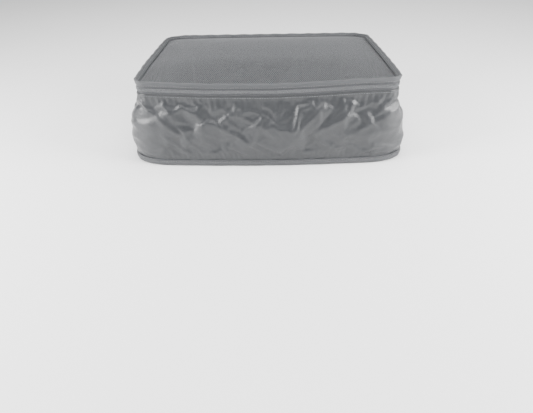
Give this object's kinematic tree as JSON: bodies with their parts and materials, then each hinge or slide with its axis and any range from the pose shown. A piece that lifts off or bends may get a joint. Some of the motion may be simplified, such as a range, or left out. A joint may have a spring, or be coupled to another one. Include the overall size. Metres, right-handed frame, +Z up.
{
  "type": "packing cube",
  "caption": "Soft rectangular travel packing cube with nylon walls, a see-through mesh lid, bound edges, and a coil zip that runs round the front and sides.",
  "frame": {"origin": "on the surface that the cube stands on, at the middle of the base", "axes": "+X along the long sides, to the right as seen from the front; +Z up; the front is at -Y and the lid's hinge is at +Y"},
  "size_m": [0.346, 0.2512, 0.1151],
  "materials": {
    "nylon": "semi-gloss coated plain weave",
    "binding": "matte ribbed grosgrain",
    "mesh": "open knitted mesh",
    "zip_tape": "matte woven tape",
    "zip_coil": "satin monofilament",
    "slider_metal": "satin enamel",
    "pull_rubber": "matte moulded"
  },
  "bodies": {
    "case": {"base_panel": "nylon", "base_binding": "binding", "side_gusset": "nylon", "back_wall": "nylon", "left_seam_binding": "binding", "right_seam_binding": "binding", "lower_zip_tape": "zip_tape", "lower_zip_coil": "zip_coil", "left_zip_end_tab": "binding", "right_zip_end_tab": "binding"},
    "lid": {"lid_mesh": "mesh", "lid_binding": "binding", "upper_zip_tape": "zip_tape", "upper_zip_coil": "zip_coil"},
    "front_slider": {"front_slider_body": "slider_metal", "front_slider_bridge": "slider_metal"},
    "front_pull": {"front_pull": "pull_rubber"},
    "rear_slider": {"rear_slider_body": "slider_metal", "rear_slider_bridge": "slider_metal"},
    "rear_pull": {"rear_pull": "pull_rubber"}
  },
  "joints": [
    {"name": "lid_hinge", "type": "hinge", "parent": "case", "child": "lid", "pos_m": [0, 0.12, 0.105], "axis": [-1, 0, 0], "range_deg": [0, 200]},
    {"name": "front_slider_slide", "type": "slide", "parent": "case", "child": "front_slider", "axis": [0, -1, 0], "range_m": [0, 0.118]},
    {"name": "front_pull_swing", "type": "hinge", "parent": "front_slider", "child": "front_pull", "pos_m": [0.1662, 0.02375, 0.101], "axis": [0, -1, 0], "range_deg": [0, 165]},
    {"name": "rear_slider_slide", "type": "slide", "parent": "case", "child": "rear_slider", "axis": [0, 1, 0], "range_m": [0, 0.055]},
    {"name": "rear_pull_swing", "type": "hinge", "parent": "rear_slider", "child": "rear_pull", "pos_m": [0.1662, 0.03625, 0.101], "axis": [0, -1, 0], "range_deg": [0, 165]}
  ]
}
